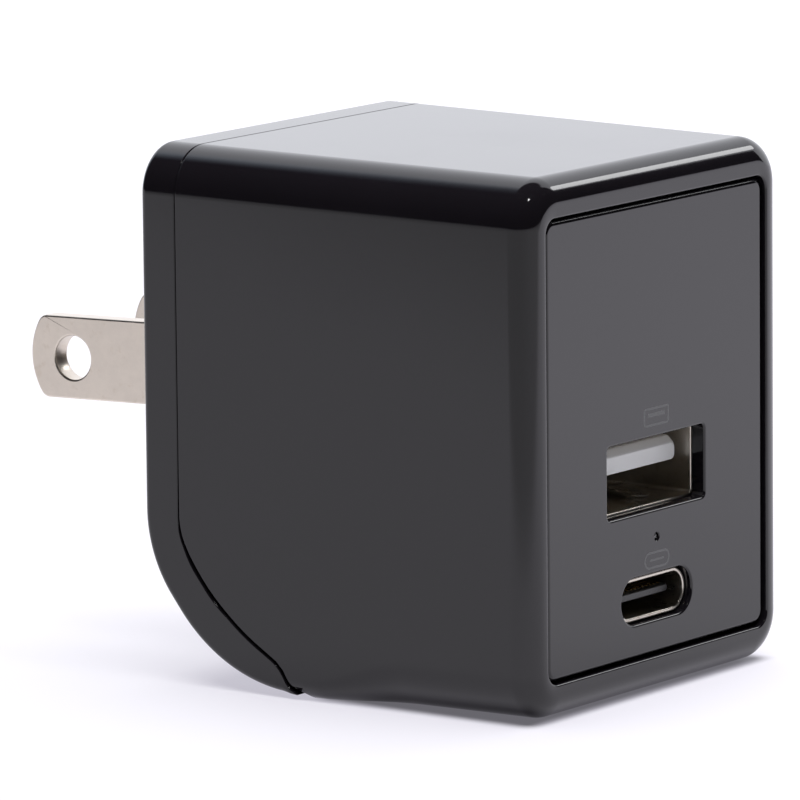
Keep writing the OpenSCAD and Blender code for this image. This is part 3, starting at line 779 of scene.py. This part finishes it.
def buildWinding():
    turns = (windingForm["high"] - windingForm["low"] - 2 * windingForm["wire"]) / (2.04 * windingForm["wire"])
    tree = Tree("windingTurns", Turns="NodeSocketFloat", Radius="NodeSocketFloat", Height="NodeSocketFloat",
                Wire="NodeSocketFloat")
    coil = tree.node("GeometryNodeCurveSpiral", Resolution=40, Rotations=tree.size("Turns"),
                     **{"Start Radius": tree.size("Radius"), "End Radius": tree.size("Radius")},
                     Height=tree.size("Height"))
    ring = tree.node("GeometryNodeCurvePrimitiveCircle", Resolution=8, Radius=tree.size("Wire"))
    wire = tree.node("GeometryNodeCurveToMesh", Curve=coil, **{"Profile Curve": ring, "Fill Caps": True})
    tree.finish(wire, paints["winding_copper"])
    coil = tree.grow("coil", pathMesh("none", []), Turns=turns, Radius=windingForm["radius"],
                     Height=turns * 2.04 * windingForm["wire"], Wire=windingForm["wire"])
    cx, cy = windingForm["centre"]
    coil.data.transform(Matrix.Translation((cx, cy, windingForm["low"] + windingForm["wire"])))
    bm = bmesh.new()
    f = windingForm
    rings = [(f["coreIn"], f["low"]), (f["coreOut"], f["low"]), (f["coreOut"], f["high"]), (f["coreIn"], f["high"])]
    loft(bm, [[Vector((cx + r * math.cos(math.tau * i / 48), cy + r * math.sin(math.tau * i / 48), z))
               for i in range(48)] for r, z in rings], loop=True)
    return joined("transformerWinding", [coil, asObject("core", bm)])


handOver(buildWinding(), paints["winding_copper"], "body", ["transformer_winding"])
print("contacts and winding built")


# ---- port shells and tongues ----

usbAForm = dict(width=13.1, height=5.72, z=-5.72, sheet=0.3, front=-33.35, back=-19.1, corner=0.6,
                tongueHalf=5.55, tongueTop=-3.86, tongueThick=1.84, tongueTip=-32.45, tongueBack=-23.0)
usbCForm = dict(width=8.94, height=3.26, z=-14.95, sheet=0.3, front=-34.0, back=-19.1, tongueHalf=3.345,
                tongueThick=0.7, tongueTip=-33.2, tongueBack=-26.0)


def tubeRings(form, halfW, halfH, r):
    sheet, front, back, soft = form["sheet"], form["front"], form["back"], 0.1

    def ring(y, grow):
        return atDepth(roundRect(halfW + grow, form["z"] - halfH - grow, form["z"] + halfH + grow,
                                 min(r + grow, halfH + grow - 0.001), 12), y)

    rings = [ring(back, 0)]
    rings += [ring(front + soft * (1 - math.sin(a)), -soft * (1 - math.cos(a)))
              for a in (math.radians(90 * k / 4) for k in range(5))]
    rings += [ring(front + soft * (1 - math.sin(a)), -sheet + soft * (1 - math.cos(a)))
              for a in (math.radians(90 - 90 * k / 4) for k in range(5))]
    rings += [ring(back - sheet, -sheet)]
    return rings


def springTab(x, z, side, wide=2.2, length=5.2):
    # cut free on three sides and bent into the opening
    rings = []
    for k in range(15):
        t = k / 14
        bend = 0.42 * math.sin(math.pi * min(t * 1.15, 1)) ** 1.3 - (0.1 if t > 0.86 else 0) * (t - 0.86) / 0.14
        half = wide / 2 * (1 if t > 0.16 else math.sqrt(max(1 - ((0.16 - t) / 0.16) ** 2, 0.04)))
        y = -31.6 + length * t
        rings.append([Vector((x + dx * half, y, z + side * (bend + dz))) for dx, dz in
                      ((-1, 0.02), (1, 0.02), (1, 0.14), (-1, 0.14))])
    bm = bmesh.new()
    loft(bm, rings)
    return asObject("tab", bm)


def buildPorts():
    bm = bmesh.new()
    f = usbAForm
    loft(bm, tubeRings(f, f["width"] / 2, f["height"] / 2, f["corner"]))
    floor = f["z"] - f["height"] / 2 + f["sheet"]
    tabs = [springTab(x, floor, 1) for x in (-3, 3)]
    shellA = joined("usbAShell", [asObject("tube", bm)] + tabs)
    bm = bmesh.new()
    f = usbCForm
    loft(bm, tubeRings(f, f["width"] / 2, f["height"] / 2, f["height"] / 2))
    shellC = asObject("usbCShell", bm)

    f = usbAForm
    top, low = f["tongueTop"], f["tongueTop"] - f["tongueThick"]
    tip = f["tongueTip"]
    steps = [(tip, -0.2, -0.62, 0.12), (tip + 0.04, -0.08, -0.53, 0.05), (tip + 0.12, -0.02, -0.42, 0.01),
             (tip + 0.45, 0, -0.1, 0), (tip + 0.56, 0, -0.03, 0), (tip + 0.7, 0, 0, 0), (f["tongueBack"], 0, 0, 0)]
    bm = bmesh.new()
    loft(bm, [atDepth(roundRect(f["tongueHalf"] + w, low + b, top + t, 0.42, 6), y) for y, w, t, b in steps])
    tongue = asObject("tongue", bm)
    bm = bmesh.new()
    loft(bm, [atDepth(roundRect(6.15, f["z"] - 2.46, f["z"] + 2.46, 0.3, 4), y) for y in (-24, -19.5)])
    combine(tongue, [asObject("base", bm)], "UNION")
    wells = [bar("well", (x - 0.56, -31.8, low - 0.2), (x + 0.56, -24.05, low + 0.06)) for x in (-3.5, -1, 1, 3.5)]
    tongueA = combine(tongue, wells, "DIFFERENCE")
    tongueA.name = "usbATongue"

    f = usbCForm
    steps = [(f["tongueTip"], -0.1, -0.14), (f["tongueTip"] + 0.08, -0.02, -0.06), (f["tongueTip"] + 0.3, 0, 0),
             (f["tongueBack"], 0, 0)]
    bm = bmesh.new()
    loft(bm, [atDepth(roundRect(f["tongueHalf"] + w, f["z"] - 0.35 - h, f["z"] + 0.35 + h, 0.2, 5), y)
              for y, w, h in steps])
    tongue = asObject("tongue", bm)
    bm = bmesh.new()
    loft(bm, [atDepth(roundRect(4.12, f["z"] - 1.23, f["z"] + 1.23, 1.229, 12), y) for y in (-27, -19.5)])
    tongueC = combine(tongue, [asObject("base", bm)], "UNION")
    tongueC.name = "usbCTongue"
    return shellA, tongueA, shellC, tongueC


shellA, tongueA, shellC, tongueC = buildPorts()
handOver(shellA, paints["port_steel"], "body", ["usb_a_shell"])
handOver(tongueA, paints["port_white"], "body", ["usb_a_tongue"])
handOver(shellC, paints["port_steel"], "body", ["usb_c_shell"])
handOver(tongueC, paints["port_black"], "body", ["usb_c_tongue"])

lensForm = dict(z=-10.5, face=-34.4, neck=-33.65, back=-20.0, tip=0.26, body=1.0)


def buildLens():
    f = lensForm
    steps = [(f["face"], 0.1), (f["face"] + 0.03, 0.19), (f["face"] + 0.09, 0.25), (f["face"] + 0.16, f["tip"]),
             (f["neck"], f["tip"]), (f["neck"], f["body"] - 0.1), (f["neck"] + 0.1, f["body"]),
             (f["back"], f["body"])]
    bm = bmesh.new()
    loft(bm, [atDepth(disc(0, f["z"], r, 32), y) for y, r in steps])
    return asObject("lightPipe", bm)


handOver(buildLens(), paints["lamp_clear"], "body", ["light_pipe"])
print("ports built")


# ---- folding plug ----

bladeForm = dict(x=6.35, thick=1.52, width=6.35, length=18.4, tipRadius=5.1, corner=0.9, hole=3.4, holeIn=4.0,
                 tailHalf=1.2, tailEnd=-6.15, shoulder=-0.5, edge=0.16)
barrelForm = dict(y=-3.4, radius=3.08, half=9.35, waist=2.3, waistHalf=4.3, pin=1.2, pinEnd=12.1,
                  edge=0.3, droop=1.6)


def bladeOutline():
    f = bladeForm
    half, tipY = f["width"] / 2, f["length"] - f["tipRadius"]
    r, R = f["corner"], f["tipRadius"]
    inY = tipY + math.sqrt((R - r) ** 2 - (half - r) ** 2)  # centre of the small corner arcs
    swing = math.degrees(math.atan2(half - r, inY - tipY))
    top = [(f["tailEnd"], f["tailHalf"]), (f["shoulder"], f["tailHalf"]), (f["shoulder"], half)]
    top += [(inY + r * math.sin(math.radians(a)), half - r + r * math.cos(math.radians(a)))
            for a in (swingStep * (90 - swing) / 8 for swingStep in range(9))]
    top += [(tipY + R * math.cos(math.radians(a)), R * math.sin(math.radians(a)))
            for a in (swing * (1 - k / 12) for k in range(1, 12))]
    return top + [(f["length"], 0)] + [(y, -z) for y, z in reversed(top)]


def buildBlade(name, side):
    f = bladeForm
    holeY, r, half = f["length"] - f["holeIn"], f["hole"] / 2, f["thick"] / 2
    outline = []
    raw = bladeOutline()
    for a, b in zip(raw, raw[1:] + raw[:1]):
        cuts = max(1, int(math.hypot(b[0] - a[0], b[1] - a[1]) / 1.2))
        outline += [(lerp(a[0], b[0], k / cuts), lerp(a[1], b[1], k / cuts)) for k in range(cuts)]
    count = 64
    bm = bmesh.new()
    x = side * f["x"]
    loft(bm, [[Vector((x + s * half, y, z)) for y, z in outline] for s in (-1, 1)])
    blade = asObject(name, bm)
    bore = acrossX("bore", disc(holeY, 0, r, count), x - 2, x + 2)
    combine(blade, [bore], "DIFFERENCE")
    return soften(blade, f["edge"], 3, 50)


def buildBarrel():
    f = barrelForm
    e, w = f["edge"], 0.35
    half = [(f["waistHalf"] - w, f["waist"])]
    half += [(f["waistHalf"] - w + w * math.sin(a), f["waist"] + w * (1 - math.cos(a)))
             for a in (math.radians(90 * k / 4) for k in range(1, 5))]
    half += [(f["waistHalf"] + e * (1 - math.cos(a)), f["radius"] - e * (1 - math.sin(a)))
             for a in (math.radians(90 * k / 4) for k in range(5))]
    half += [(f["half"] - e + e * math.sin(a), f["radius"] - e * (1 - math.cos(a)))
             for a in (math.radians(90 * k / 4) for k in range(5))]
    half += [(f["half"], f["pin"]), (f["pinEnd"] - 0.2, f["pin"]), (f["pinEnd"], f["pin"] - 0.2)]
    barrel = turnedX("prongCarrier", [(-x, r) for x, r in reversed(half)] + half, f["y"], 0)
    pockets = [bar("pocket", (s * bladeForm["x"] - 0.78, -8.5, -1.24), (s * bladeForm["x"] + 0.78, 5, 1.24))
               for s in (-1, 1)]
    return combine(barrel, pockets, "DIFFERENCE")


def atRest(obj):  # the open plug hangs a little below square
    spot = Matrix.Translation((0, barrelForm["y"], 0))
    obj.data.transform(spot @ Matrix.Rotation(math.radians(-barrelForm["droop"]), 4, "X") @ spot.inverted())
    return obj


for name, side, node in (("bladeLine", -1, "blade_line"), ("bladeNeutral", 1, "blade_neutral")):
    handOver(atRest(buildBlade(name, side)), paints["blade_nickel"], "plug", [node], 35)
handOver(atRest(buildBarrel()), paints["carrier_black"], "plug", ["prong_carrier"])
print("folding plug built")


# ---- studio ----

# floorGlow: painted light on the floor, its glow on the dim side and on the bright side
studio = dict(floorZ=-0.02226, floorColour=0.25, floorTint=(1.0, 0.97, 1.1), floorGlow=(0.46, 0.84),
              keyPower=34.0, keySize=1.3, keyHeight=1.15,
              backdropGlow=1.38, backdropFrom=-26, backdropTo=110, backdropRise=60, world=0.012,
              spark=(-0.23, -0.45, 0.86), sparkPower=0.25, softboxHeading=-20, softboxRise=31, softboxPower=0.31)
cameraPlace = dict(spot=(-0.48597, -0.365506, 0.09817), turn=-53.91, tilt=-9.497, roll=-0.549, lens=365.231)


def buildFloor():
    bm = bmesh.new()
    side, cuts = 3.0, 24
    for i in range(cuts + 1):
        for j in range(cuts + 1):
            bm.verts.new((side * (2 * i / cuts - 1), side * (2 * j / cuts - 1), studio["floorZ"]))
    bm.verts.ensure_lookup_table()
    for i in range(cuts):
        for j in range(cuts):
            a = i * (cuts + 1) + j
            bm.faces.new([bm.verts[k] for k in (a, a + cuts + 1, a + cuts + 2, a + 1)])
    mesh = bpy.data.meshes.new("studioFloor")
    bm.to_mesh(mesh)
    bm.free()
    p = Paint("paleFloor")
    c = studio["floorColour"]
    p.feed("Base Color", p.blend(p.noise(0.004, 2, 0.5), (c, c, c, 1), (c * 1.02, c * 1.02, c * 1.02, 1)))
    x, y = p.axes()[:2]
    # the floor's glow is painted light: dim (first floorGlow value) where x - y is low, bright (second) where it is
    # high
    left, right = (grey(g, studio["floorTint"]) for g in studio["floorGlow"])
    glow = p.blend(p.ease(x - y, -0.08, 0.24), left, right)
    # painted shadow: the glow is taken away under the body's footprint, standing in for a contact shadow
    paintedShadowBeneath = p.ease(abs(x), 0.0165, 0.0145) * p.ease(abs(y + 0.0245), 0.0105, 0.0085)
    paintedShadeNear = p.ease(-0.8 * x - 0.6 * y, 0.075, 0.13)  # painted shade: the glow is dimmed on the side the light falls away to
    # painted shadow and shade: the glow is blended towards black under the body and on the camera side
    p.feed("Emission Color", p.blend((paintedShadowBeneath * 0.75).above(paintedShadeNear * 0.7), glow, (0, 0, 0, 1)))
    p.shader.inputs["Emission Strength"].default_value = 1.0
    p.shader.inputs["Roughness"].default_value = 0.9
    p.shader.inputs["Specular IOR Level"].default_value = 0.1
    mesh.materials.append(p.material)
    floor = bpy.data.objects.new("studioFloor", mesh)
    bpy.context.scene.collection.objects.link(floor)
    return floor


def buildBackdrop():
    # tall glowing card curved round the far side, dying away to the left and at its top
    radius, rows, columns = 1.6, 24, 40
    low, high = studio["backdropFrom"], studio["backdropTo"]
    top = radius * math.tan(math.radians(studio["backdropRise"]))
    bm = bmesh.new()
    grid = [[bm.verts.new((radius * math.cos(a), radius * math.sin(a), studio["floorZ"] + top * i / rows))
             for a in (math.radians(lerp(low, high, j / columns)) for j in range(columns + 1))]
            for i in range(rows + 1)]
    for i in range(rows):
        for j in range(columns):
            bm.faces.new((grid[i][j], grid[i + 1][j], grid[i + 1][j + 1], grid[i][j + 1]))
    mesh = bpy.data.meshes.new("studioBackdrop")
    bm.to_mesh(mesh)
    bm.free()
    p = Paint("glowingCard", Base_Color=(0, 0, 0, 1), Roughness=1.0, Specular_IOR_Level=0.0)
    x, y, z = p.axes()
    around = p.node("ShaderNodeMath", {"operation": "ARCTAN2"}, y, x)
    fade = (1 - p.ease(around, math.radians(70), math.radians(106))) * (1 - p.ease(z, top * 0.78, top * 0.98))
    cool = p.blend(p.ease(around, math.radians(60), math.radians(95)), (0.985, 1, 1.06, 1), (0.86, 1, 1.18, 1))
    p.feed("Emission Color", p.blend(fade, (0, 0, 0, 1), cool))
    p.shader.inputs["Emission Strength"].default_value = studio["backdropGlow"]
    mesh.materials.append(p.material)
    card = bpy.data.objects.new("studioBackdrop", mesh)
    bpy.context.scene.collection.objects.link(card)
    return card


def areaLight(name, spot, aim, size, power, inGloss):
    lamp = bpy.data.lights.new(name, "AREA")
    lamp.shape, lamp.size, lamp.energy = "DISK", size, power
    obj = bpy.data.objects.new(name, lamp)
    bpy.context.scene.collection.objects.link(obj)
    obj.location = spot
    obj.rotation_euler = (Vector(aim) - Vector(spot)).to_track_quat("-Z", "Y").to_euler()
    obj.visible_glossy = inGloss
    return obj


buildFloor()
buildBackdrop()
areaLight("keyAbove", (-0.05, -0.05, studio["keyHeight"]), (0, 0, 0), studio["keySize"], studio["keyPower"], False)
areaLight("cornerSpark", tuple(0.75 * c for c in studio["spark"]), (0, -0.02, 0), 0.06, studio["sparkPower"], True)
away, rise = math.radians(studio["softboxHeading"]), math.radians(studio["softboxRise"])
reach = 0.8
areaLight("softbox", (reach * math.cos(rise) * math.cos(away), reach * math.cos(rise) * math.sin(away),
                      reach * math.sin(rise)), (0, -0.02, 0), 0.158, studio["softboxPower"], True)

world = bpy.data.worlds.new("studioWorld")
bpy.context.scene.world = world
world.use_nodes = True
world.node_tree.nodes["Background"].inputs[0].default_value = (studio["world"],) * 3 + (1,)

camera = bpy.data.objects.new("camera", bpy.data.cameras.new("camera"))
bpy.context.scene.collection.objects.link(camera)
camera.data.lens, camera.data.sensor_width = cameraPlace["lens"], 36.0
camera.data.clip_start, camera.data.clip_end = 0.05, 20
camera.matrix_world = (Matrix.Translation(cameraPlace["spot"])
                       @ Matrix.Rotation(math.radians(cameraPlace["turn"]), 4, "Z")
                       @ Matrix.Rotation(math.radians(90 + cameraPlace["tilt"]), 4, "X")
                       @ Matrix.Rotation(math.radians(cameraPlace["roll"]), 4, "Z"))
bpy.context.scene.camera = camera
bpy.context.scene.view_settings.view_transform = "Standard"
print("studio ready")
